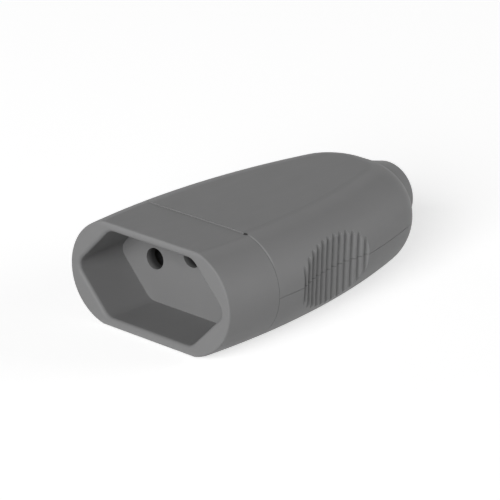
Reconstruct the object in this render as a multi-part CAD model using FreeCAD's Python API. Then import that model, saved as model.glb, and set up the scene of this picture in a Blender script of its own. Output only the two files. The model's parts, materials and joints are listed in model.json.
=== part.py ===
import FreeCAD, Part
import math
import os
from FreeCAD import Vector

# Inline mains socket with three round-pin ways, for the end of a flexible cord.
# Lengths are in millimetres. Every piece is drawn from the socket face, with y growing
# towards the cord, z up and z = 0 on the axis. The finished pieces are then set down with
# the middle of the length at y = 0 and the flat underside of the grip at z = 0.

# Plug pattern
pin_spacing = 19.0
earth_rise = 3.0
pin_radius = 2.0
pin_length = 19.0
pin_hole_clearance = 0.2

# Recess that takes the plug's body
recess_end_margin = 9.35
recess_height = 17.8
recess_flat = 21.2
recess_depth = 12.4
recess_flat_corner_radius = 3.0
recess_end_corner_radius = 2.2
recess_rim_radius = 0.8
floor_thickness = 2.4

# Nose
rim_side_wall = 1.4
rim_top_wall = 1.75
nose_rim_radius = 0.4
seam_setback = 1.1

# Grip: flat above and below, its sides a round bulge that follows a long plan arc
seam_step = 0.2
side_bulge = 9.8
plan_radius = 155.2
plan_corner_radius = 4.2
widest_setback = 4.1
shell_wall = 1.8

# Dished grips with upright ribs, one on each side
dish_setback = 18.7
dish_radius = 40.0
dish_depth = 2.0
groove_count = 12
groove_pitch = 1.95
groove_depth = 0.55

# Joint between the nose and the shells
seam_gap = 0.1
neck_length = 2.5
collar_width = 2.0
collar_height = 1.2
flange_length = 2.0
neck_wall = 1.6
fit_gap = 0.1

# Joint between the shells
parting_gap = 0.08
tongue_height = 1.0
tongue_width = 0.8
tongue_gap = 0.05

# Contacts
sleeve_gap = 0.02
sleeve_wall = 0.6
sleeve_front_gap = 2.0
sleeve_reach = 1.2
slit_width = 0.5
tail_width = 4.4
tail_thickness = 0.8
tail_overlap = 1.0
spring_wall = 0.5
spring_width = 4.0
spring_setback = 2.0
spring_opening = 50.0

# Terminals
block_width = 6.4
block_length = 6.2
block_base = 1.3
block_top = 1.7
window_height = 3.6
window_side_gap = 0.2
tail_end_gap = 0.3
terminal_screw_radius = 1.7
terminal_head_radius = 2.6
terminal_head_height = 1.3
terminal_head_lift = 0.3
terminal_tip_drop = 1.0
screw_slot_width = 0.7
screw_slot_depth = 0.8

# Chambers and terminal tray at the back of the nose
chamber_gap = 0.2
chamber_wall = 1.3
web_thickness = 2.0
tray_wall = 1.3
tray_front_wall = 1.2
tray_corner_radius = 1.0
compartment_gap = 0.3
cover_thickness = 1.8
wire_hole_radius = 1.9

# Ribs in the shells that stop the terminal cover
stop_rib_thickness = 1.4
lower_stop_rib_half_width = 12.5
lower_stop_rib_overlap = 2.2
upper_stop_rib_overlap = 1.5

# Cord bushing
cord_hole_radius = 4.4
bushing_wall = 2.0
bushing_lip_height = 0.3
bushing_lip_length = 2.3
bushing_lip_radius = 0.5
bushing_mouth_chamfer = 0.6
bushing_reach = 2.9
bushing_inner_gap = 0.2
bushing_flange_height = 1.8
bushing_flange_width = 2.0
bushing_front_wall = 1.6
bushing_back_wall = 5.6
bushing_gap = 0.1

# Cord clamp
clamp_gap = 1.9
clamp_back_room = 3.3
clamp_width = 6.0
clamp_channel_radius = 4.3
clamp_arch_wall = 1.8
clamp_ear_thickness = 2.2
clamp_ear_reach = 2.7
clamp_corner_radius = 1.5
clamp_seat_drop = 0.6
clamp_post_radius = 2.6
clamp_screw_radius = 1.45
clamp_screw_depth = 6.0
clamp_head_radius = 2.4
clamp_head_height = 1.6
saddle_rib_thickness = 1.4
saddle_rib_spread = 3.2

# Screws that hold the shells together
boss_gap = 0.4
boss_cord_gap = 0.2
boss_wall = 0.8
shell_screw_radius = 1.45
shell_screw_rise = 6.0
shell_head_radius = 2.6
shell_head_height = 1.9
head_well_gap = 0.2
head_well_depth = 4.2
screw_hole_gap = 0.05
head_chamfer = 0.3

# Drawing aids: how far a tool reaches past what it cuts, and how closely places must agree
overrun = 0.5
close = 1e-6

# Places worked out from the sizes above
pin_hole_radius = pin_radius + pin_hole_clearance
recess_half_width = pin_spacing / 2 + recess_end_margin
floor_back = recess_depth + floor_thickness
nose_length = recess_depth + seam_setback
shell_front = nose_length + seam_gap
neck_end = nose_length + neck_length
flange_start = neck_end + collar_width + 2 * fit_gap
flange_end = flange_start + flange_length
neck_inset = shell_wall + fit_gap
sleeve_inner = pin_radius + sleeve_gap
sleeve_outer = sleeve_inner + sleeve_wall
sleeve_start = floor_back + sleeve_front_gap
sleeve_end = recess_depth + pin_length + sleeve_reach
chamber_radius = sleeve_outer + spring_wall + chamber_gap
chamber_outer = chamber_radius + chamber_wall
tray_start = sleeve_end + chamber_gap
block_start = tray_start + tray_front_wall
block_end = block_start + block_length
tray_end = block_end + fit_gap
cover_end = tray_end + cover_thickness
stop_rib_start = cover_end + fit_gap
window_floor = -sleeve_outer
window_top = window_floor + window_height
block_floor = window_floor - block_base
block_height = block_base + window_height + block_top
tray_floor = block_floor - tray_wall
compartment_half_width = block_width / 2 + compartment_gap
tray_half_width = pin_spacing / 2 + compartment_half_width + tray_wall
tray_top = block_floor + block_height
earth_top = tray_top + earth_rise
wire_height = (window_floor + tail_thickness + window_top) / 2
inner_dish_radius = dish_radius + groove_depth
clamp_seat = -clamp_seat_drop
boss_radius = shell_head_radius + head_well_gap + boss_wall
shell_screw_at = stop_rib_start + stop_rib_thickness + boss_gap + boss_radius
shell_screw_spread = cord_hole_radius + boss_cord_gap + boss_radius
clamp_at = shell_screw_at + boss_radius + clamp_gap + clamp_width / 2
clamp_screw_spread = clamp_channel_radius + clamp_arch_wall + clamp_head_radius + fit_gap
clamp_half_length = clamp_screw_spread + clamp_ear_reach
cavity_end = clamp_at + clamp_width / 2 + clamp_back_room
bushing_radius = cord_hole_radius + bushing_wall
bushing_start = cavity_end + bushing_inner_gap
bushing_flange_at = cavity_end + bushing_front_wall
bushing_flange_back = bushing_flange_at + bushing_flange_width
grip_end = bushing_flange_back + bushing_back_wall
bushing_end = grip_end + bushing_reach
ways = {
    "line": (pin_spacing / 2, 0.0),
    "neutral": (-pin_spacing / 2, 0.0),
    "earth": (0.0, earth_rise),
}

# Section of the grip: the bulge on each side is an arc through the edges of both flats
nose_half_height = recess_height / 2 + rim_top_wall
grip_half_height = nose_half_height + seam_step
side_radius = (grip_half_height ** 2 + side_bulge ** 2) / (2 * side_bulge)

# Plan of the grip: the bulge's centre line runs along a side arc, a corner arc and the end.
# The side arc goes on over the nose, whose rim sets how wide the body is at the socket face.
widest_at = shell_front + widest_setback
outer_plan_radius = plan_radius + side_radius
face_half_width = recess_half_width + rim_side_wall
face_sag = outer_plan_radius - math.sqrt(outer_plan_radius ** 2 - widest_at ** 2)
centre_x = face_half_width + face_sag - outer_plan_radius
side_centre = Vector(centre_x, widest_at, 0)
end_line = grip_end - side_radius
corner_y = end_line - plan_corner_radius
corner_reach = plan_radius - plan_corner_radius
corner_rise = corner_y - widest_at
corner_x = side_centre.x + math.sqrt(corner_reach ** 2 - corner_rise ** 2)
corner_centre = Vector(corner_x, corner_y, 0)
corner_angle = math.degrees(math.asin(corner_rise / corner_reach))
front_angle = -2 * math.degrees(math.asin(widest_at / outer_plan_radius))
far = 2 * plan_radius


def box(x0, x1, y0, y1, z0, z1):
    """A box between two values on each axis."""
    return Part.makeBox(x1 - x0, y1 - y0, z1 - z0, Vector(x0, y0, z0))


def rod(x, z, radius, y0, y1):
    """A round bar along y."""
    return Part.makeCylinder(radius, y1 - y0, Vector(x, y0, z), Vector(0, 1, 0))


def post(x, y, radius, z0, z1):
    """A round bar along z."""
    return Part.makeCylinder(radius, z1 - z0, Vector(x, y, z0), Vector(0, 0, 1))


def clip(shape, y0, y1):
    """The part of a shape between two places along the axis."""
    return shape.common(box(-far, far, y0, y1, -far, far))


def mirrored(shape):
    """The same shape on the other side of the axis."""
    return shape.mirror(Vector(0, 0, 0), Vector(1, 0, 0))


def bulge_profile(centre, line_radius, inset):
    """The grip's side section beside its centre line, as a face that can turn about centre."""
    radius = side_radius - inset
    height = grip_half_height - inset
    reach = math.sqrt(radius ** 2 - height ** 2)
    middle = centre.x + line_radius
    inner = middle - overrun
    top = Vector(middle + reach, centre.y, height)
    bottom = Vector(middle + reach, centre.y, -height)
    inner_top = Vector(inner, centre.y, height)
    inner_bottom = Vector(inner, centre.y, -height)
    side = Part.Arc(bottom, Vector(middle + radius, centre.y, 0), top).toShape()
    edges = [
        Part.makeLine(inner_bottom, bottom),
        side,
        Part.makeLine(top, inner_top),
        Part.makeLine(inner_top, inner_bottom),
    ]
    return Part.Face(Part.Wire(edges))


def turned(centre, line_radius, inset, start, end):
    """The bulge turned about an upright axis between two plan angles."""
    face = bulge_profile(centre, line_radius, inset)
    up = Vector(0, 0, 1)
    face.rotate(centre, up, start)
    return face.revolve(centre, up, end - start)


def on_circle(centre, radius, angle):
    """A plan point at an angle in degrees about a centre."""
    turn = math.radians(angle)
    return centre + Vector(radius * math.cos(turn), radius * math.sin(turn), 0)


def flipped(point):
    """The same point on the other side of the axis."""
    return Vector(-point.x, point.y, point.z)


def grip_core(inset):
    """The grip inside the bulge's centre line, flat above and below."""
    middle_angle = (front_angle + corner_angle) / 2
    corner_middle = (corner_angle + 90) / 2
    front = on_circle(side_centre, plan_radius, front_angle)
    side = on_circle(side_centre, plan_radius, middle_angle)
    turn = on_circle(corner_centre, plan_corner_radius, corner_angle)
    corner = on_circle(corner_centre, plan_corner_radius, corner_middle)
    end = on_circle(corner_centre, plan_corner_radius, 90)
    edges = [
        Part.Arc(front, side, turn).toShape(),
        Part.Arc(turn, corner, end).toShape(),
        Part.makeLine(end, flipped(end)),
        Part.Arc(flipped(end), flipped(corner), flipped(turn)).toShape(),
        Part.Arc(flipped(turn), flipped(side), flipped(front)).toShape(),
        Part.makeLine(flipped(front), front),
    ]
    face = Part.Face(Part.Wire(edges))
    height = grip_half_height - inset
    face.translate(Vector(0, 0, -height))
    return face.extrude(Vector(0, 0, 2 * height))


def plain_form(inset):
    """The grip's outer form without dishes, moved inwards all over by inset."""
    side = turned(side_centre, plan_radius, inset, front_angle, corner_angle)
    corner = turned(corner_centre, plan_corner_radius, inset, corner_angle, 90)
    end_face = bulge_profile(Vector(0, 0, 0), 0, inset)
    end_face.rotate(Vector(0, 0, 0), Vector(0, 0, 1), 90)
    end_face.translate(Vector(-corner_x, end_line, 0))
    end = end_face.extrude(Vector(2 * corner_x, 0, 0))
    parts = [side, corner, mirrored(side), mirrored(corner), end]
    return grip_core(inset).multiFuse(parts).removeSplitter()


def dish_centre():
    """Plan centre of the right dish, square to the side where the dish is deepest."""
    rise = shell_front + dish_setback - widest_at
    angle = math.degrees(math.asin(rise / outer_plan_radius))
    return on_circle(side_centre, outer_plan_radius - dish_depth + dish_radius, angle), angle


def plain_dishes(radius):
    """Upright round tools that hollow both sides of the grip."""
    centre, _ = dish_centre()
    tool = post(centre.x, centre.y, radius, -far, far)
    return tool.fuse(mirrored(tool))


def ribbed_dish():
    """Upright tool for the right side, with a wave of grooves along its round face."""
    centre, angle = dish_centre()
    steepness = 4 * math.atan(2 * groove_depth / groove_pitch)
    wave_radius = groove_pitch / 4 / math.sin(steepness / 2)
    shoulder = wave_radius * (1 - math.cos(steepness / 4))
    step = math.degrees(groove_pitch / dish_radius)

    def at(pitches, depth):
        return on_circle(centre, dish_radius + depth, angle + 180 + pitches * step)

    half = groove_count / 2
    level = groove_depth / 2
    edges = []
    for number in range(groove_count):
        left = number - half
        if number > 0:
            edges.append(Part.Arc(at(left - 0.25, level), at(left, 0), at(left + 0.25, level)))
        groove = [at(left + 0.25, level), at(left + 0.5, groove_depth), at(left + 0.75, level)]
        edges.append(Part.Arc(*groove))
    eighth = wave_radius * math.sin(steepness / 4) / groove_pitch
    first = Part.Arc(at(-half, 0), at(-half + eighth, shoulder), at(-half + 0.25, level))
    last = Part.Arc(at(half - 0.25, level), at(half - eighth, shoulder), at(half, 0))
    back = Part.Arc(at(half, 0), on_circle(centre, dish_radius, angle), at(-half, 0))
    shapes = [curve.toShape() for curve in [first] + edges + [last, back]]
    face = Part.Face(Part.Wire(shapes))
    face.translate(Vector(0, 0, -2 * grip_half_height))
    return face.extrude(Vector(0, 0, 4 * grip_half_height))


def hollow_form(inset):
    """The grip's form moved inwards, clear of the backs of both dishes."""
    return plain_form(inset).cut(plain_dishes(inner_dish_radius + inset))


def edges_along_y(shape):
    """The straight edges that run along the axis."""
    return [edge for edge in shape.Edges
            if abs(edge.Vertexes[0].Y - edge.Vertexes[-1].Y) > edge.Length - close]


def recess_prism():
    """Six-sided recess with rounded corners."""
    end = recess_half_width
    flat = recess_flat / 2
    top = recess_height / 2
    corners = [(end, 0), (flat, top), (-flat, top), (-end, 0), (-flat, -top), (flat, -top)]
    points = [Vector(x, 0, z) for x, z in corners]
    face = Part.Face(Part.makePolygon(points + points[:1]))
    prism = face.extrude(Vector(0, recess_depth, 0))
    others = [edge for edge in edges_along_y(prism) if abs(edge.Vertexes[0].Z) > close]
    prism = prism.makeFillet(recess_flat_corner_radius, others)
    ends = [edge for edge in edges_along_y(prism) if abs(edge.Vertexes[0].Z) < close]
    return prism.makeFillet(recess_end_corner_radius, ends)


def face_edges(shape, y, inside):
    """Edges that lie in the plane at y, those of the recess or those of the outside."""
    found = []
    for edge in shape.Edges:
        ends = edge.BoundBox
        flat = abs(ends.YMin - y) < close and abs(ends.YMax - y) < close
        point = edge.valueAt((edge.FirstParameter + edge.LastParameter) / 2)
        in_recess = abs(point.z) <= recess_height / 2 + close and in_hexagon(point)
        if flat and in_recess == inside:
            found.append(edge)
    return found


def in_hexagon(point):
    """True where a point lies within the recess's six sides."""
    end = recess_half_width
    flat = recess_flat / 2
    slope = (end - flat) / (recess_height / 2)
    return abs(point.x) <= end - slope * abs(point.z) + close


def nose_skin():
    """Outside of the nose: the grip's form carried on to the face, a little less high."""
    height = nose_half_height
    return plain_form(0).common(box(-far, far, 0, nose_length, -height, height))


def nose_neck():
    """Neck, groove and flange that the shells' collar grips, hollow behind the floor."""
    neck = clip(plain_form(neck_inset), nose_length - overrun, neck_end)
    groove = clip(plain_form(neck_inset + collar_height), neck_end, flange_start)
    flange = clip(hollow_form(neck_inset), flange_start, flange_end)
    hollow = plain_form(neck_inset + collar_height + neck_wall)
    hollow = clip(hollow, floor_back, flange_end + overrun)
    return neck.multiFuse([groove, flange]).cut(hollow)


def tray_outline(y0, y1):
    """Outside of the terminal tray: low over the outer ways, raised over the earth way."""
    low = box(-tray_half_width, tray_half_width, y0, y1, tray_floor, tray_top)
    low = low.makeFillet(tray_corner_radius, edges_along_y(low))
    half = compartment_half_width + tray_wall
    high = box(-half, half, y0, y1, 0, earth_top)
    return low.fuse(high).removeSplitter()


def compartment(x, z):
    """Space for one terminal block, open above and behind."""
    half = compartment_half_width
    floor = z + block_floor
    return box(x - half, x + half, block_start - fit_gap, tray_end, floor, 2 * grip_half_height)


def chamber_tubes():
    """Three tubes joined by a web, from the recess floor into the tray's front wall."""
    back = tray_start + tray_front_wall / 2
    tubes = [rod(x, z, chamber_outer, recess_depth, back) for x, z in ways.values()]
    low = (earth_rise - web_thickness) / 2
    half = pin_spacing / 2
    web = box(-half, half, recess_depth, back, low, low + web_thickness)
    room = clip(plain_form(neck_inset + collar_height), recess_depth, back)
    return [piece.common(room) for piece in tubes + [web]]


def tail_slot(x, z):
    """Slot through the tray's front wall for a contact's flat tail."""
    half = tail_width / 2 + window_side_gap
    return box(x - half, x + half, sleeve_end - tail_overlap - chamber_gap, block_start,
               z + window_floor, z)


def make_socket_nose():
    """One moulding: rim, recess, pin holes, neck, contact chambers and terminal tray."""
    body = nose_skin().fuse(nose_neck())
    tray = tray_outline(tray_start, tray_end)
    body = body.multiFuse(chamber_tubes() + [tray])
    body = body.cut(recess_prism())
    for x, z in ways.values():
        body = body.cut(rod(x, z, pin_hole_radius, 0, floor_back + overrun))
        body = body.cut(rod(x, z, chamber_radius, floor_back, block_start + overrun))
        body = body.cut(compartment(x, z))
        body = body.cut(tail_slot(x, z))
    body = body.removeSplitter()
    body = body.makeFillet(recess_rim_radius, face_edges(body, 0, True))
    return body.makeFillet(nose_rim_radius, face_edges(body, 0, False))


def make_terminal_cover():
    """Plate that closes the tray from behind, with a hole for each wire."""
    cover = tray_outline(tray_end, cover_end)
    for x, z in ways.values():
        cover = cover.cut(rod(x, z + wire_height, wire_hole_radius, tray_end, cover_end))
    return cover


def make_contact(x, z):
    """Sleeve rolled from sheet with a slit on top, and the flat tail behind it."""
    sleeve = rod(x, z, sleeve_outer, sleeve_start, sleeve_end)
    sleeve = sleeve.cut(rod(x, z, sleeve_inner, sleeve_start, sleeve_end))
    half_slit = slit_width / 2
    slit = box(x - half_slit, x + half_slit, sleeve_start, sleeve_end, z, z + chamber_radius)
    sleeve = sleeve.cut(slit)
    tail_bottom = z + window_floor
    tail = box(x - tail_width / 2, x + tail_width / 2, sleeve_end - tail_overlap,
               block_end - tail_end_gap, tail_bottom, tail_bottom + tail_thickness)
    return sleeve.fuse(tail).removeSplitter()


def make_contact_spring(x, z):
    """Open steel ring round the front of a sleeve."""
    start = sleeve_start + spring_setback
    ring = rod(x, z, sleeve_outer + spring_wall, start, start + spring_width)
    ring = ring.cut(rod(x, z, sleeve_outer, start, start + spring_width))
    reach = 2 * chamber_radius
    half = math.radians(spring_opening / 2)
    spread = reach * math.tan(half)
    centre = Vector(x, start, z)
    corners = [centre, Vector(x - spread, start, z - reach), Vector(x + spread, start, z - reach)]
    wedge = Part.Face(Part.makePolygon(corners + [centre]))
    return ring.cut(wedge.extrude(Vector(0, spring_width, 0)))


def make_terminal_block(x, z):
    """Brass block with a window for the tail and the wire, and a screw hole above it."""
    half = block_width / 2
    floor = z + block_floor
    block = box(x - half, x + half, block_start, block_end, floor, floor + block_height)
    half_window = tail_width / 2 + window_side_gap
    window = box(x - half_window, x + half_window, block_start, block_end,
                 z + window_floor, z + window_top)
    middle = (block_start + block_end) / 2
    hole = post(x, middle, terminal_screw_radius, z, floor + block_height)
    return block.cut(window).cut(hole)


def slotted_screw(x, y, head_base, up, radius, length, head_radius, head_height):
    """Screw along z with a round slotted head; up is 1 with the head on top, -1 below."""
    shank = Part.makeCylinder(radius, length, Vector(x, y, head_base), Vector(0, 0, -up))
    head = Part.makeCylinder(head_radius, head_height, Vector(x, y, head_base), Vector(0, 0, up))
    rim = [edge for edge in head.Edges if abs(edge.BoundBox.ZLength) < close
           and abs(edge.BoundBox.ZMin - head_base) > close]
    head = head.makeChamfer(head_chamfer, rim)
    outer = head_base + up * head_height
    inner = outer - up * screw_slot_depth
    low, high = min(outer, inner), max(outer, inner)
    half = screw_slot_width / 2
    slot = box(x - head_radius, x + head_radius, y - half, y + half, low, high)
    return shank.fuse(head.cut(slot)).removeSplitter()


def make_terminal_screw(x, z):
    """Screw that presses the wire on the tail, here backed out with no wire in place."""
    top = z + block_floor + block_height
    head_base = top + terminal_head_lift
    length = head_base - (z + window_top - terminal_tip_drop)
    middle = (block_start + block_end) / 2
    return slotted_screw(x, middle, head_base, 1, terminal_screw_radius, length,
                         terminal_head_radius, terminal_head_height)


def make_cord_bushing():
    """Round bushing with a lip at its end and a flange that the shells hold."""
    lip_start = bushing_end - bushing_lip_length
    barrel = rod(0, 0, bushing_radius, bushing_start, lip_start)
    lip = rod(0, 0, bushing_radius + bushing_lip_height, lip_start, bushing_end)
    rim = [edge for edge in lip.Edges if abs(edge.BoundBox.YMin - bushing_end) < close]
    lip = lip.makeFillet(bushing_lip_radius, rim)
    flange_radius = bushing_radius + bushing_flange_height
    flange = rod(0, 0, flange_radius, bushing_flange_at, bushing_flange_back)
    body = barrel.multiFuse([lip, flange])
    body = body.cut(rod(0, 0, cord_hole_radius, bushing_start, bushing_end))
    mouth = [edge for edge in body.Edges if abs(edge.BoundBox.YMin - bushing_end) < close
             and edge.BoundBox.XLength < cord_hole_radius + bushing_radius]
    return body.makeChamfer(bushing_mouth_chamfer, mouth).removeSplitter()


def bushing_seat():
    """Space in the shells for the bushing and its flange."""
    hole = rod(0, 0, bushing_radius + bushing_gap, cavity_end - overrun, bushing_end)
    groove_radius = bushing_radius + bushing_flange_height + bushing_gap
    groove = rod(0, 0, groove_radius, bushing_flange_at - bushing_gap,
                 bushing_flange_back + bushing_gap)
    return hole.fuse(groove)


def shell_cavity():
    """Hollow of the closed grip, stepped round the neck, the collar and the flange."""
    collar_front = neck_end + fit_gap
    collar_back = collar_front + collar_width
    neck_space = clip(plain_form(shell_wall), shell_front - overrun, collar_front)
    collar_space = clip(plain_form(shell_wall + collar_height), collar_front, collar_back)
    main_space = clip(hollow_form(shell_wall), collar_back, cavity_end)
    return neck_space.multiFuse([collar_space, main_space, bushing_seat()])


def closed_grip():
    """Both shells as one, with the ribbed dishes and the cavity."""
    grip = clip(plain_form(0), shell_front, bushing_end)
    dish = ribbed_dish()
    grip = grip.cut(dish).cut(mirrored(dish))
    return grip.cut(shell_cavity())


def tongue(inset, height):
    """Ring on the parting plane, from inset to the inside of the wall."""
    collar_back = neck_end + fit_gap + collar_width
    ring = hollow_form(inset).cut(hollow_form(shell_wall))
    ring = ring.common(box(-far, far, collar_back, cavity_end, -parting_gap / 2, height))
    return ring


def lower_fittings():
    """Screw bosses, clamp posts, saddle ribs and the stop rib inside the lower shell."""
    base = -grip_half_height
    top = -parting_gap / 2
    pieces = []
    for side in (1, -1):
        pieces.append(post(side * shell_screw_spread, shell_screw_at, boss_radius, base, top))
        pieces.append(post(side * clamp_screw_spread, clamp_at, clamp_post_radius, base, clamp_seat))
    reach = clamp_screw_spread
    for side in (1, -1):
        middle = clamp_at + side * saddle_rib_spread / 2
        half = saddle_rib_thickness / 2
        rib = box(-reach, reach, middle - half, middle + half, base, clamp_seat)
        pieces.append(rib.cut(rod(0, 0, clamp_channel_radius, middle - half, middle + half)))
    half = lower_stop_rib_half_width
    pieces.append(box(-half, half, stop_rib_start, stop_rib_start + stop_rib_thickness,
                      base, tray_floor + lower_stop_rib_overlap))
    return [piece.common(hollow_form(shell_wall / 2)) for piece in pieces]


def make_lower_shell(grip):
    """Lower half of the grip, with the tongue, the screw wells and the clamp posts."""
    half_space = box(-far, far, 0, far, -far, -parting_gap / 2)
    shell = grip.common(half_space)
    inner = shell_wall - tongue_width + tongue_gap
    shell = shell.multiFuse(lower_fittings() + [tongue(inner, tongue_height)])
    for side in (1, -1):
        x = side * shell_screw_spread
        well_top = -grip_half_height + head_well_depth
        shell = shell.cut(post(x, shell_screw_at, shell_head_radius + head_well_gap,
                               -2 * grip_half_height, well_top))
        shell = shell.cut(post(x, shell_screw_at, shell_screw_radius + head_well_gap,
                               well_top, overrun))
        x = side * clamp_screw_spread
        shell = shell.cut(post(x, clamp_at, clamp_screw_radius + screw_hole_gap,
                               clamp_seat - clamp_screw_depth - overrun, overrun))
    return shell.removeSplitter()


def make_upper_shell(grip):
    """Upper half of the grip, with the rebate for the tongue and the screw bosses."""
    half_space = box(-far, far, 0, far, parting_gap / 2, far)
    shell = grip.common(half_space)
    ceiling = grip_half_height
    pieces = []
    for side in (1, -1):
        x = side * shell_screw_spread
        pieces.append(post(x, shell_screw_at, boss_radius, parting_gap / 2, ceiling))
    half = compartment_half_width + tray_wall
    pieces.append(box(-half, half, stop_rib_start, stop_rib_start + stop_rib_thickness,
                      earth_top - upper_stop_rib_overlap, ceiling))
    pieces = [piece.common(hollow_form(shell_wall / 2)) for piece in pieces]
    shell = shell.multiFuse(pieces)
    shell = shell.cut(tongue(shell_wall - tongue_width, tongue_height + tongue_gap))
    for side in (1, -1):
        x = side * shell_screw_spread
        shell = shell.cut(post(x, shell_screw_at, shell_screw_radius + screw_hole_gap,
                               0, shell_screw_rise + overrun))
    return shell.removeSplitter()


def make_clamp_bar():
    """Bar with an arch over the cord and an ear over each post."""
    front = clamp_at - clamp_width / 2
    back = clamp_at + clamp_width / 2
    ears = box(-clamp_half_length, clamp_half_length, front, back,
               clamp_seat, clamp_seat + clamp_ear_thickness)
    edges = [edge for edge in ears.Edges
             if abs(edge.Vertexes[0].Z - edge.Vertexes[1].Z) > edge.Length - close]
    ears = ears.makeFillet(clamp_corner_radius, edges)
    arch = rod(0, 0, clamp_channel_radius + clamp_arch_wall, front, back)
    arch = arch.common(box(-far, far, front, back, clamp_seat, far))
    bar = ears.fuse(arch).cut(rod(0, 0, clamp_channel_radius, front, back))
    for side in (1, -1):
        x = side * clamp_screw_spread
        bar = bar.cut(post(x, clamp_at, clamp_screw_radius + head_well_gap, clamp_seat, far))
    return bar.removeSplitter()


def make_clamp_screw(side):
    """Screw of the cord clamp, from above."""
    seat = clamp_seat + clamp_ear_thickness
    length = clamp_ear_thickness + clamp_screw_depth
    return slotted_screw(side * clamp_screw_spread, clamp_at, seat, 1, clamp_screw_radius,
                         length, clamp_head_radius, clamp_head_height)


def make_shell_screw(side):
    """Screw that draws the shells together, its head in a well below."""
    seat = -grip_half_height + head_well_depth
    length = shell_screw_rise - seat
    return slotted_screw(side * shell_screw_spread, shell_screw_at, seat, -1,
                         shell_screw_radius, length, shell_head_radius, shell_head_height)


def make_parts():
    """Every piece by name, in the drawing's own frame."""
    grip = closed_grip()
    parts = {
        "socket_nose": make_socket_nose(),
        "upper_shell": make_upper_shell(grip),
        "lower_shell": make_lower_shell(grip),
        "cord_bushing": make_cord_bushing(),
        "terminal_cover": make_terminal_cover(),
        "cord_clamp_bar": make_clamp_bar(),
    }
    for way, (x, z) in ways.items():
        parts[way + "_contact"] = make_contact(x, z)
        parts[way + "_contact_spring"] = make_contact_spring(x, z)
        parts[way + "_terminal_block"] = make_terminal_block(x, z)
        parts[way + "_terminal_screw"] = make_terminal_screw(x, z)
    for name, side in (("right", 1), ("left", -1)):
        parts[name + "_clamp_screw"] = make_clamp_screw(side)
        parts[name + "_shell_screw"] = make_shell_screw(side)
    return parts


def main():
    """Set every piece down in the part's own frame and write it."""
    os.makedirs("parts", exist_ok=True)
    for name, shape in make_parts().items():
        shape.translate(Vector(0, -bushing_end / 2, grip_half_height))
        shape.exportStep("parts/" + name + ".step")


main()
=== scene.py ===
import json
import math

import bpy
import numpy as np
from mathutils import Matrix, Vector

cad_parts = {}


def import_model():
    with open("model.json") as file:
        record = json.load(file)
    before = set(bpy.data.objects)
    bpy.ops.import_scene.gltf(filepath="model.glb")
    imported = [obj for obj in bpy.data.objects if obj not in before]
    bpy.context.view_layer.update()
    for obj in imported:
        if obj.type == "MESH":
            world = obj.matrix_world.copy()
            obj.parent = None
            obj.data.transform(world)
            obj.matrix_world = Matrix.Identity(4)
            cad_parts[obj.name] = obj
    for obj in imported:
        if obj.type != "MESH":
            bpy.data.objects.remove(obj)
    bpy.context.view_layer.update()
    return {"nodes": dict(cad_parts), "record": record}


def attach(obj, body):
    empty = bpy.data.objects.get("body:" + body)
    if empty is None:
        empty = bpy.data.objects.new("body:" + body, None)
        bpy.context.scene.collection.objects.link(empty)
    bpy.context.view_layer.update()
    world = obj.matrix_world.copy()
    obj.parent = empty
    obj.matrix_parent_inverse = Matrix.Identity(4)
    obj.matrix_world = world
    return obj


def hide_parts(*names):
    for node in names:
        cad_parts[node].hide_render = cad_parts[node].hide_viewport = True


# Inline socket connector in mid-grey moulded plastic on a pale floor.
# Lengths are in metres, in the frame of the CAD model: x across, y towards the cord
# outlet, z up, with the flat underside of the grip at z = 0 and the middle of the length at
# y = 0. An azimuth counts in degrees from the socket face's side, turning towards +x.

# The view of the photograph. A positive roll tips the top of the frame to the left, and the lens
# and the sensor are in millimetres.
CAMERA_PLACE = (0.328101, -0.402744, 0.211411)
CAMERA_AZIMUTH = 39.6895
CAMERA_ELEVATION = 21.3727
CAMERA_ROLL = 1.6211
CAMERA_LENS = 201.20
CAMERA_SENSOR = 36.0
CAMERA_NEAREST = 0.01
CAMERA_FURTHEST = 50.0

# Body: half its length, the height of its axis, and the half heights at which the flats above and
# below round over into the sides, on the grip and on the nose
HALF_LENGTH = 0.03725
AXIS_HEIGHT = 0.01085
GRIP_SHOULDER = 0.01085
NOSE_SHOULDER = 0.01065

# Socket face to recess floor, the floor's thickness, and floor to contact sleeves
RECESS_DEPTH = 0.0124
FLOOR_THICKNESS = 0.0024
SLEEVE_SETBACK = 0.0020
RECESS_FLOOR = RECESS_DEPTH - HALF_LENGTH
SLEEVE_START = RECESS_FLOOR + FLOOR_THICKNESS + SLEEVE_SETBACK

# Painted highlight along the shoulders: how far below the shoulder the band starts, is strongest and has
# faded out
SHOULDER_HIGHLIGHT_START = 0.00003
SHOULDER_HIGHLIGHT_PEAK = 0.00025
SHOULDER_HIGHLIGHT_REACH = 0.00130
SHOULDER_HIGHLIGHT_GAIN = 1.10

# Painted highlight along the shells' front edge, at the seam: a band that fades out at EDGE_REACH before
# and behind its middle along y. It sets in between the first two heights and ends between the last two.
EDGE_MIDDLE = -0.02343
EDGE_REACH = 0.00036
EDGE_FOOT = 0.0162
EDGE_FULL = 0.0188
EDGE_CLOSING = 0.0211
EDGE_HEAD = 0.0216
EDGE_GAIN = 1.55

# Painted shadow: a small dark spot in the gap where the seam crosses the shoulder
SEAM_GAP_PLACE = (0.0123, -0.0237, 0.0215)
SEAM_GAP_RADIUS = 0.00060
SEAM_GAP_SHADOW = 0.03

# Painted shade in the pin holes: the plastic darkens over the first length behind the recess floor,
# and the brass clears over the second from the sleeves' mouths. The oval, by half width and half
# height, holds the holes and the chambers behind them.
HOLE_FADE = 0.00175
HOLE_SHADE = 0.22
SLEEVE_FADE = 0.00800
SLEEVE_SHADE = 0.15
CHAMBER_OVAL = (0.0185, 0.0095)

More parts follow.
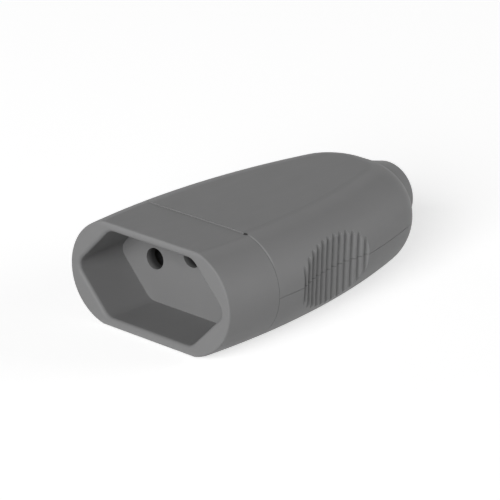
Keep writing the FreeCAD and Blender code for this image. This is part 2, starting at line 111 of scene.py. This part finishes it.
# Cord bushing: its ends and its flange along y, and its radii
BUSHING_INNER_END = 0.02535
BUSHING_FLANGE_FRONT = 0.02675
BUSHING_FLANGE_BACK = 0.02875
BUSHING_OUTER_END = HALF_LENGTH
BORE_RADIUS = 0.0044
BARREL_RADIUS = 0.0064
FLANGE_RADIUS = 0.0082

# Collar of the bushing outside the grip: a cone, flared where it lies on the shells
COLLAR_END_RADIUS = 0.00668
COLLAR_TAPER = 0.262
COLLAR_FLARE = 0.0005
COLLAR_END_ROUND = 0.0009
MOUTH_ROUND = 0.0006

# The grip's rounded end, under the collar: the bulge's radius, and in plan the radius and the
# centre of the arc at each corner
BULGE_RADIUS = 0.010906
CORNER_RADIUS = 0.0042
CORNER_X = 0.001021
CORNER_Y = 0.019244

# The bushing's mesh: points along the runs of its section, how those of the cone crowd towards the
# shells, rounds of the search for the collar's foot, points round the axis, and the angle in degrees
# from which an edge is sharp
SKIRT_POINTS = 8
CONE_POINTS = 25
CONE_CROWDING = 1.6
END_POINTS = 9
MOUTH_POINTS = 7
FOOT_ROUNDS = 30
ROUND_POINTS = 168
SHARP_ANGLE = 35.0

# Colours, as linear values
HOUSING_GREY = (0.205, 0.205, 0.206)
# The bushing's grey is lighter than the housing's: partly its own tone, partly painted light making up
# for the grip's shadow on the collar
BUSHING_GREY = (0.245, 0.245, 0.246)
INNER_GREY = (0.240, 0.240, 0.238)
# The sheet brass is a darkened brass: painted shade for the contacts seen deep in the pin holes
SHEET_BRASS = (0.62, 0.43, 0.19)
BAR_BRASS = (0.72, 0.53, 0.25)
SPRING_STEEL = (0.50, 0.50, 0.52)
ZINC_PLATE = (0.62, 0.62, 0.64)
PAPER_WHITE = (0.80, 0.80, 0.80, 1.0)
FULL_WHITE = (1.0, 1.0, 1.0, 1.0)

# Noise in the finishes: features in a metre, detail and roughness. Most of its values lie between
# the last two numbers, and that range is spread over the one that a finish asks for. Where a
# stretch multiplies the coordinates, the features run along the axis with the small number.
CLOUDS = (90.0, 3.0, 0.5)
FLOW_LINES = (420.0, 3.0, 0.6)
COARSE_GRAIN = (1700.0, 2.0, 0.5)
FINE_GRAIN = (5200.0, 2.0, 0.55)
DRAWN_LINES = (3000.0, 3.0, 0.6)
TARNISH = (260.0, 4.0, 0.6)
NOISE_LOW = 0.3
NOISE_HIGH = 0.7

# Moulded plastic: height of its grain and range of its roughness by part, range of the clouds'
# factor, stretch of the flow lines, relief of both grains, refraction and gloss
HOUSING_GRAIN = 0.000028
BUSHING_GRAIN = 0.000022
INNER_GRAIN = 0.000015
HOUSING_SHEEN = (0.54, 0.58)
BUSHING_SHEEN = (0.52, 0.57)
INNER_SHEEN = (0.38, 0.50)
CLOUD_RANGE = (0.985, 1.015)
FLOW_STRETCH = (1.0, 0.25, 1.0)
COARSE_HEIGHT = 1.5
COARSE_STRENGTH = 0.25
FINE_STRENGTH = 0.5
PLASTIC_IOR = 1.49
PLASTIC_GLOSS = 0.3

# Metal: range of the tarnish's factor, and height and strength of the drawn lines
TARNISH_RANGE = (0.86, 1.06)
LINE_HEIGHT = 0.000012
LINE_STRENGTH = 0.5

# Metals by piece: stretch of the lines and range of the roughness
SHEET_STRETCH = (1.0, 0.08, 1.0)
SHEET_SHEEN = (0.20, 0.36)
BAR_STRETCH = (0.12, 1.0, 1.0)
BAR_SHEEN = (0.28, 0.46)
SPRING_STRETCH = (1.0, 0.1, 1.0)
SPRING_SHEEN = (0.24, 0.38)
SCREW_STRETCH = (1.0, 1.0, 0.15)
SCREW_SHEEN = (0.26, 0.40)

# Lamps: name, azimuth, elevation and level. A matt surface that faces a lamp squarely gets the
# level's share of its own colour, however far away the lamp stands.
LAMPS = (
    ("key_lamp", 17.0, 21.0, 0.94),
    ("side_lamp", 140.0, 15.0, 0.30),
    ("far_lamp", 280.0, 12.0, 0.12),
)
LAMP_DISTANCE = 3.0
LAMP_SIZE = 1.7
LAMP_AIM = Vector((0.0, 0.0, 0.01))

# Even light from all round
AMBIENT_LEVEL = 0.11

# Floor: half its width, how far it lies below the grip, and the light that it adds for what is seen
# of it, so that it is white in the open
FLOOR_HALF_WIDTH = 6.0
FLOOR_DROP = 0.00005
FLOOR_GLOW = 0.62


def direction(azimuth, elevation):
    """Unit vector from the object towards a lamp or camera, from its two angles in degrees."""
    a = math.radians(azimuth)
    e = math.radians(elevation)
    return Vector((math.sin(a) * math.cos(e), -math.cos(a) * math.cos(e), math.sin(e)))


class Nodes:
    """Short calls for laying out the nodes of one material or of the world."""

    def __init__(self, owner, output):
        owner.use_nodes = True
        self.owner = owner
        self.tree = owner.node_tree
        self.tree.nodes.clear()
        self.output = self.tree.nodes.new(output)

    def add(self, kind, settings=(), **values):
        """A node of a kind, with its settings and the values of its sockets."""
        node = self.tree.nodes.new(kind)
        for key, value in dict(settings).items():
            setattr(node, key, value)
        for key, value in values.items():
            node.inputs[key.replace("_", " ")].default_value = value
        return node

    def join(self, out, into):
        """A link from one node's output to another's input."""
        self.tree.links.new(out, into)

    def finish(self, shader):
        """The material or world, with this output of a shader as its surface."""
        self.join(shader, self.output.inputs["Surface"])
        return self.owner

    def calculate(self, kind, operation, *values, clamp=False):
        """A node that works on values, each another node's output or a plain number or vector."""
        node = self.add(kind, {"operation": operation})
        if clamp:
            node.use_clamp = True
        for socket, value in zip(node.inputs, values):
            if isinstance(value, bpy.types.NodeSocket):
                self.join(value, socket)
            else:
                socket.default_value = value
        return node

    def number(self, operation, *values, clamp=False):
        """The result of an operation on numbers, each another node's output or a plain one."""
        return self.calculate("ShaderNodeMath", operation, *values, clamp=clamp).outputs["Value"]

    def product(self, *values):
        """All the values multiplied."""
        result = values[0]
        for value in values[1:]:
            result = self.number("MULTIPLY", result, value)
        return result

    def distance_from(self, value, middle):
        """How far a value lies from a number, either way."""
        return self.number("ABSOLUTE", self.number("SUBTRACT", value, middle))

    def spread_between(self, value, start, end, low, high, kind="LINEAR"):
        """Maps a value from one range to another."""
        node = self.add("ShaderNodeMapRange", {"interpolation_type": kind})
        for socket, number in (("From Min", start), ("From Max", end), ("To Min", low), ("To Max", high)):
            node.inputs[socket].default_value = number
        self.join(value, node.inputs["Value"])
        return node.outputs["Result"]

    def smooth_step(self, value, start, end, low, high):
        """Runs smoothly from low to high while the value goes from start to end."""
        return self.spread_between(value, start, end, low, high, "SMOOTHSTEP")

    def spread(self, noise, limits):
        """Noise spread between two limits."""
        low, high = limits
        return self.spread_between(noise, NOISE_LOW, NOISE_HIGH, low, high)

    def gain(self, share, most):
        """A factor that goes from 1 to most while the share goes from 0 to 1."""
        return self.spread_between(share, 0.0, 1.0, 1.0, most)

    def object_place(self):
        """Object coordinates."""
        return self.add("ShaderNodeTexCoord").outputs["Object"]

    def stretched_place(self, stretch=(1.0, 1.0, 1.0), shift=(0.0, 0.0, 0.0)):
        """Object coordinates times the stretch along each axis, then shifted."""
        node = self.add("ShaderNodeMapping", Scale=stretch, Location=shift)
        self.join(self.object_place(), node.inputs["Vector"])
        return node.outputs["Vector"]

    def parts_of_place(self):
        """The three object coordinates, as the outputs of one node."""
        node = self.add("ShaderNodeSeparateXYZ")
        self.join(self.object_place(), node.inputs["Vector"])
        return node.outputs

    def noise(self, place, kind):
        """Cloudy noise of one of the kinds above."""
        scale, detail, roughness = kind
        node = self.add("ShaderNodeTexNoise", Scale=scale, Detail=detail, Roughness=roughness)
        self.join(place, node.inputs["Vector"])
        return node.outputs["Fac"]

    def tinted(self, colour, factor):
        """A colour, lighter or darker by a factor that varies over the surface."""
        node = self.add("ShaderNodeVectorMath", {"operation": "SCALE"})
        node.inputs[0].default_value = colour
        self.join(factor, node.inputs["Scale"])
        return node.outputs["Vector"]

    def bump(self, height, distance, strength, under=None):
        """Surface relief from a height, in metres, laid over another relief."""
        node = self.add("ShaderNodeBump", Strength=strength, Distance=distance)
        self.join(height, node.inputs["Height"])
        if under is not None:
            self.join(under, node.inputs["Normal"])
        return node.outputs["Normal"]

    def either_shader(self, choice, one, two):
        """The first shader where the choice is 0 and the second where it is 1."""
        node = self.add("ShaderNodeMixShader")
        self.join(choice, node.inputs["Fac"])
        self.join(one, node.inputs[1])
        self.join(two, node.inputs[2])
        return node.outputs["Shader"]

    def seen_as_backdrop(self):
        """1 for what the camera, a reflection or glass sees, and 0 for other light."""
        rays = self.add("ShaderNodeLightPath").outputs
        direct = self.number("ADD", rays["Is Camera Ray"], rays["Is Glossy Ray"])
        return self.number("ADD", direct, rays["Is Transmission Ray"], clamp=True)


def new_finish(name):
    """The nodes of a new material."""
    return Nodes(bpy.data.materials.new(name), "ShaderNodeOutputMaterial")


def shoulder_painted_highlight(m, shoulder):
    """Painted highlight: a factor above 1 in the band where the flats round over into the sides.

    The band is found by height from the axis: it starts at the shoulder, is strongest at
    SHOULDER_HIGHLIGHT_PEAK below it and has faded out at SHOULDER_HIGHLIGHT_REACH.
    """
    height = m.distance_from(m.parts_of_place()["Z"], AXIS_HEIGHT)
    peak = shoulder - SHOULDER_HIGHLIGHT_PEAK
    rise = m.smooth_step(height, shoulder - SHOULDER_HIGHLIGHT_REACH, peak, 0.0, 1.0)
    fall = m.smooth_step(height, peak, shoulder - SHOULDER_HIGHLIGHT_START, 1.0, 0.0)
    return m.gain(m.product(rise, fall), SHOULDER_HIGHLIGHT_GAIN)


def seam_edge_painted_highlight(m):
    """Painted highlight: a factor above 1 along the shells' front edge, from below the shoulder down the
    side.
    """
    place = m.parts_of_place()
    band = m.smooth_step(m.distance_from(place["Y"], EDGE_MIDDLE), 0.0, EDGE_REACH, 1.0, 0.0)
    rise = m.smooth_step(place["Z"], EDGE_FOOT, EDGE_FULL, 0.0, 1.0)
    fall = m.smooth_step(place["Z"], EDGE_CLOSING, EDGE_HEAD, 1.0, 0.0)
    return m.gain(m.product(band, rise, fall), EDGE_GAIN)


def seam_gap_painted_shadow(m):
    """Painted shadow in the seam's gap: a factor that falls from 1 to its dark level within its radius of
    the spot.
    """
    gap = m.calculate("ShaderNodeVectorMath", "DISTANCE", m.object_place(), SEAM_GAP_PLACE).outputs["Value"]
    return m.smooth_step(gap, SEAM_GAP_RADIUS / 2, SEAM_GAP_RADIUS, SEAM_GAP_SHADOW, 1.0)


def outside_chambers(m):
    """1 outside the oval round the body's axis that holds the chambers, and 0 inside it."""
    half_width, half_height = CHAMBER_OVAL
    stretch = (1.0 / half_width, 0.0, 1.0 / half_height)
    place = m.stretched_place(stretch, (0.0, 0.0, -AXIS_HEIGHT / half_height))
    reach = m.calculate("ShaderNodeVectorMath", "LENGTH", place).outputs["Value"]
    return m.number("GREATER_THAN", reach, 1.0)


def hole_painted_shade(m):
    """Painted shade: a factor that falls with depth in the pin holes and stays low in the chambers."""
    y = m.parts_of_place()["Y"]
    depth = m.smooth_step(y, RECESS_FLOOR, RECESS_FLOOR + HOLE_FADE, 1.0, HOLE_SHADE)
    return m.number("MAXIMUM", depth, outside_chambers(m))


def mouth_painted_shade(m):
    """Painted shade: a factor that rises along y from SLEEVE_SHADE at the sleeves' mouths to 1."""
    y = m.parts_of_place()["Y"]
    return m.smooth_step(y, SLEEVE_START, SLEEVE_START + SLEEVE_FADE, SLEEVE_SHADE, 1.0)


def moulded_plastic(name, colour, grain, sheen, shoulder=None, holes=False):
    """Spark-textured moulding: fine round grain, faint clouding and flow lines in the sheen.

    Where a shoulder height is given, it has a painted highlight along it and along the seam's edge, and a
    painted shadow in the seam's gap. With holes, it has painted shade in the pin holes and the chambers.
    """
    m = new_finish(name)
    even = m.stretched_place()
    shade = m.spread(m.noise(even, CLOUDS), CLOUD_RANGE)
    if shoulder is not None:
        # Painted highlights along the shoulder and the seam's edge, painted shadow in the seam's gap
        shade = m.product(shade, shoulder_painted_highlight(m, shoulder), seam_edge_painted_highlight(m), seam_gap_painted_shadow(m))
    if holes:
        # Painted shade in the pin holes and the chambers
        shade = m.product(shade, hole_painted_shade(m))
    flow = m.noise(m.stretched_place(FLOW_STRETCH), FLOW_LINES)
    relief = m.bump(m.noise(even, COARSE_GRAIN), grain * COARSE_HEIGHT, COARSE_STRENGTH)
    relief = m.bump(m.noise(even, FINE_GRAIN), grain, FINE_STRENGTH, relief)
    shader = m.add("ShaderNodeBsdfPrincipled", IOR=PLASTIC_IOR, Specular_IOR_Level=PLASTIC_GLOSS)
    m.join(m.tinted(colour, shade), shader.inputs["Base Color"])
    m.join(m.spread(flow, sheen), shader.inputs["Roughness"])
    m.join(relief, shader.inputs["Normal"])
    return m.finish(shader.outputs["BSDF"])


def drawn_metal(name, colour, stretch, sheen, mouth=False):
    """Rolled or drawn metal: lines that run along one axis, and a faint tarnish.

    With a mouth, it has painted shade: dark where the sleeves start, clearing towards their other end.
    """
    m = new_finish(name)
    lines = m.noise(m.stretched_place(stretch), DRAWN_LINES)
    shade = m.spread(m.noise(m.stretched_place(), TARNISH), TARNISH_RANGE)
    if mouth:
        # Painted shade in the sleeves, darkest at their mouths
        shade = m.product(shade, mouth_painted_shade(m))
    shader = m.add("ShaderNodeBsdfPrincipled", Metallic=1.0)
    m.join(m.tinted(colour, shade), shader.inputs["Base Color"])
    m.join(m.spread(lines, sheen), shader.inputs["Roughness"])
    m.join(m.bump(lines, LINE_HEIGHT, LINE_STRENGTH), shader.inputs["Normal"])
    return m.finish(shader.outputs["BSDF"])


def pale_floor():
    """White floor that still shows the soft shadow, and is full white to the camera in the open."""
    m = new_finish("floor_white")
    paper = m.add("ShaderNodeBsdfDiffuse", Color=PAPER_WHITE).outputs["BSDF"]
    glow = m.add("ShaderNodeEmission", Color=FULL_WHITE, Strength=FLOOR_GLOW).outputs["Emission"]
    both = m.add("ShaderNodeAddShader")
    m.join(paper, both.inputs[0])
    m.join(glow, both.inputs[1])
    return m.finish(m.either_shader(m.seen_as_backdrop(), paper, both.outputs["Shader"]))


def make_materials():
    """One finish for each material slot of the record, and one for the nose, whose shoulder is lower."""
    return {
        "housing_plastic": moulded_plastic("grip_grey", HOUSING_GREY, HOUSING_GRAIN, HOUSING_SHEEN,
                                           GRIP_SHOULDER),
        "socket_nose": moulded_plastic("nose_grey", HOUSING_GREY, HOUSING_GRAIN, HOUSING_SHEEN,
                                       NOSE_SHOULDER, holes=True),
        "bushing_plastic": moulded_plastic("bushing_grey", BUSHING_GREY, BUSHING_GRAIN, BUSHING_SHEEN),
        "inner_plastic": moulded_plastic("inner_grey", INNER_GREY, INNER_GRAIN, INNER_SHEEN),
        "contact_brass": drawn_metal("sheet_brass", SHEET_BRASS, SHEET_STRETCH, SHEET_SHEEN, mouth=True),
        "terminal_brass": drawn_metal("bar_brass", BAR_BRASS, BAR_STRETCH, BAR_SHEEN),
        "spring_steel": drawn_metal("spring_steel", SPRING_STEEL, SPRING_STRETCH, SPRING_SHEEN),
        "screw_steel": drawn_metal("zinc_plate", ZINC_PLATE, SCREW_STRETCH, SCREW_SHEEN),
    }


def dress_nodes(frame, finishes):
    """Give every CAD piece the finish of its own name, or else that of its material slot."""
    slots = {entry["node"]: entry["material_slot"] for entry in frame["record"]["subparts"]}
    for name, piece in frame["nodes"].items():
        finish = finishes.get(name, finishes[slots[name]])
        for slot in piece.material_slots:
            slot.material = finish


def grip_end(x, height):
    """Where the grip's end surface lies along y.

    The bulge is an arc of BULGE_RADIUS, so at a height from the axis it stands out by the other
    side of a right triangle. In plan that is added to the corner's arc round CORNER_X, CORNER_Y.
    """
    out = np.sqrt(BULGE_RADIUS ** 2 - height ** 2)
    aside = np.maximum(np.abs(x) - CORNER_X, 0.0)
    return CORNER_Y + np.sqrt((CORNER_RADIUS + out) ** 2 - aside ** 2)


def collar_radius(y):
    """Radius of the collar's cone: the end's radius plus the taper times the distance from the end."""
    return COLLAR_END_RADIUS + COLLAR_TAPER * (BUSHING_OUTER_END - y)


def collar_foot(turn):
    """Where the collar meets the grip at each angle of turn, as arrays of y and radius.

    Where the grip's end lies depends on the radius, and the radius of the flared cone on where it
    lies, so the two are worked out in turn until they settle.
    """
    radius = np.full(turn.shape, BARREL_RADIUS)
    for _ in range(FOOT_ROUNDS):
        y = grip_end(radius * np.cos(turn), radius * np.sin(turn))
        radius = collar_radius(y) + COLLAR_FLARE
    return y, radius


def bushing_profile(turn):
    """The bushing's closed section at each angle of turn, as arrays of y and radius.

    Going round: inner end, barrel, flange, barrel, the skirt's back along the grip's end, the
    flared cone, a quarter round at the end, the end face, a quarter round into the bore. The flare
    adds its full height at the foot and falls off as a square, to nothing at twice that height.
    """
    foot, foot_radius = collar_foot(turn)
    shape = np.ones(turn.shape)
    ys = []
    radii = []

    def run(y, radius):
        ys.append(y * shape)
        radii.append(radius * shape)

    run(BUSHING_INNER_END, BORE_RADIUS)
    run(BUSHING_INNER_END, BARREL_RADIUS)
    run(BUSHING_FLANGE_FRONT, BARREL_RADIUS)
    run(BUSHING_FLANGE_FRONT, FLANGE_RADIUS)
    run(BUSHING_FLANGE_BACK, FLANGE_RADIUS)
    run(BUSHING_FLANGE_BACK, BARREL_RADIUS)
    for share in np.linspace(0.0, 1.0, SKIRT_POINTS):
        radius = BARREL_RADIUS + (foot_radius - BARREL_RADIUS) * share
        run(grip_end(radius * np.cos(turn), radius * np.sin(turn)), radius)
    cone_end = BUSHING_OUTER_END - COLLAR_END_ROUND
    for share in np.linspace(0.0, 1.0, CONE_POINTS)[1:] ** CONE_CROWDING:
        y = foot + (cone_end - foot) * share
        flare = np.maximum(1.0 - (y - foot) / (2.0 * COLLAR_FLARE), 0.0) ** 2
        run(y, collar_radius(y) + COLLAR_FLARE * flare)
    centre = collar_radius(cone_end) - COLLAR_END_ROUND
    for angle in np.linspace(0.0, math.pi / 2, END_POINTS)[1:]:
        run(cone_end + COLLAR_END_ROUND * math.sin(angle), centre + COLLAR_END_ROUND * math.cos(angle))
    for angle in np.linspace(0.0, math.pi / 2, MOUTH_POINTS):
        run(BUSHING_OUTER_END - MOUTH_ROUND * (1.0 - math.cos(angle)),
            BORE_RADIUS + MOUTH_ROUND * (1.0 - math.sin(angle)))
    return np.array(ys), np.array(radii)


def make_bushing(finish):
    """Cord bushing: its section turned about the cord's axis, as a closed ring of quads."""
    turn = np.linspace(0.0, 2.0 * math.pi, ROUND_POINTS, endpoint=False)
    y, radius = bushing_profile(turn)
    rows = len(y)
    points = np.stack([radius * np.cos(turn), y, AXIS_HEIGHT + radius * np.sin(turn)], axis=-1)
    row, step = np.meshgrid(np.arange(rows), np.arange(ROUND_POINTS), indexing="ij")
    this_row = row * ROUND_POINTS
    next_row = (row + 1) % rows * ROUND_POINTS
    next_step = (step + 1) % ROUND_POINTS
    quads = np.stack([this_row + step, next_row + step,
                      next_row + next_step, this_row + next_step], axis=-1)
    mesh = bpy.data.meshes.new("cord_collar")
    mesh.from_pydata(points.reshape(-1, 3).tolist(), [], quads.reshape(-1, 4).tolist())
    mesh.polygons.foreach_set("use_smooth", np.ones(len(mesh.polygons), dtype=bool))
    mesh.set_sharp_from_angle(angle=math.radians(SHARP_ANGLE))
    mesh.materials.append(finish)
    piece = bpy.data.objects.new("cord_collar", mesh)
    bpy.context.scene.collection.objects.link(piece)
    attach(piece, "root")
    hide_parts("cord_bushing")


def make_floor():
    """A wide flat floor, a hair below the height that the grip rests on."""
    half = FLOOR_HALF_WIDTH
    corners = [(-half, -half, -FLOOR_DROP), (half, -half, -FLOOR_DROP),
               (half, half, -FLOOR_DROP), (-half, half, -FLOOR_DROP)]
    mesh = bpy.data.meshes.new("floor")
    mesh.from_pydata(corners, [], [(0, 1, 2, 3)])
    mesh.materials.append(pale_floor())
    floor = bpy.data.objects.new("floor", mesh)
    bpy.context.scene.collection.objects.link(floor)


def make_lamp(name, azimuth, elevation, level):
    """Square soft lamp aimed at the object, with a power that gives its level from its distance."""
    lamp = bpy.data.lights.new(name, "AREA")
    lamp.shape = "SQUARE"
    lamp.size = LAMP_SIZE
    lamp.energy = level * (math.pi * LAMP_DISTANCE) ** 2
    holder = bpy.data.objects.new(name, lamp)
    back = direction(azimuth, elevation)
    holder.location = back * LAMP_DISTANCE + LAMP_AIM
    holder.rotation_euler = (-back).to_track_quat("-Z", "Y").to_euler()
    bpy.context.scene.collection.objects.link(holder)


def make_world():
    """Even grey light all round, seen as white by the camera and in reflections."""
    m = Nodes(bpy.data.worlds.new("studio"), "ShaderNodeOutputWorld")
    even = m.add("ShaderNodeBackground", Strength=AMBIENT_LEVEL).outputs["Background"]
    white = m.add("ShaderNodeBackground", Color=FULL_WHITE).outputs["Background"]
    bpy.context.scene.world = m.finish(m.either_shader(m.seen_as_backdrop(), even, white))


def make_camera():
    """The photograph's camera: it looks towards the object from its azimuth and elevation, rolled."""
    camera = bpy.data.cameras.new("camera")
    camera.sensor_width = CAMERA_SENSOR
    camera.lens = CAMERA_LENS
    camera.clip_start = CAMERA_NEAREST
    camera.clip_end = CAMERA_FURTHEST
    holder = bpy.data.objects.new("camera", camera)
    holder.location = CAMERA_PLACE
    level = (-direction(CAMERA_AZIMUTH, CAMERA_ELEVATION)).to_track_quat("-Z", "Y").to_matrix()
    roll = Matrix.Rotation(math.radians(CAMERA_ROLL), 3, "Z")
    holder.rotation_euler = (level @ roll).to_euler()
    bpy.context.scene.collection.objects.link(holder)
    bpy.context.scene.camera = holder


def main():
    """Dresses the CAD pieces, adds the bushing and builds the studio round them."""
    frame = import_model()
    finishes = make_materials()
    dress_nodes(frame, finishes)
    make_bushing(finishes["bushing_plastic"])
    make_floor()
    make_world()
    for name, azimuth, elevation, level in LAMPS:
        make_lamp(name, azimuth, elevation, level)
    make_camera()
    bpy.context.scene.view_settings.view_transform = "Standard"


main()
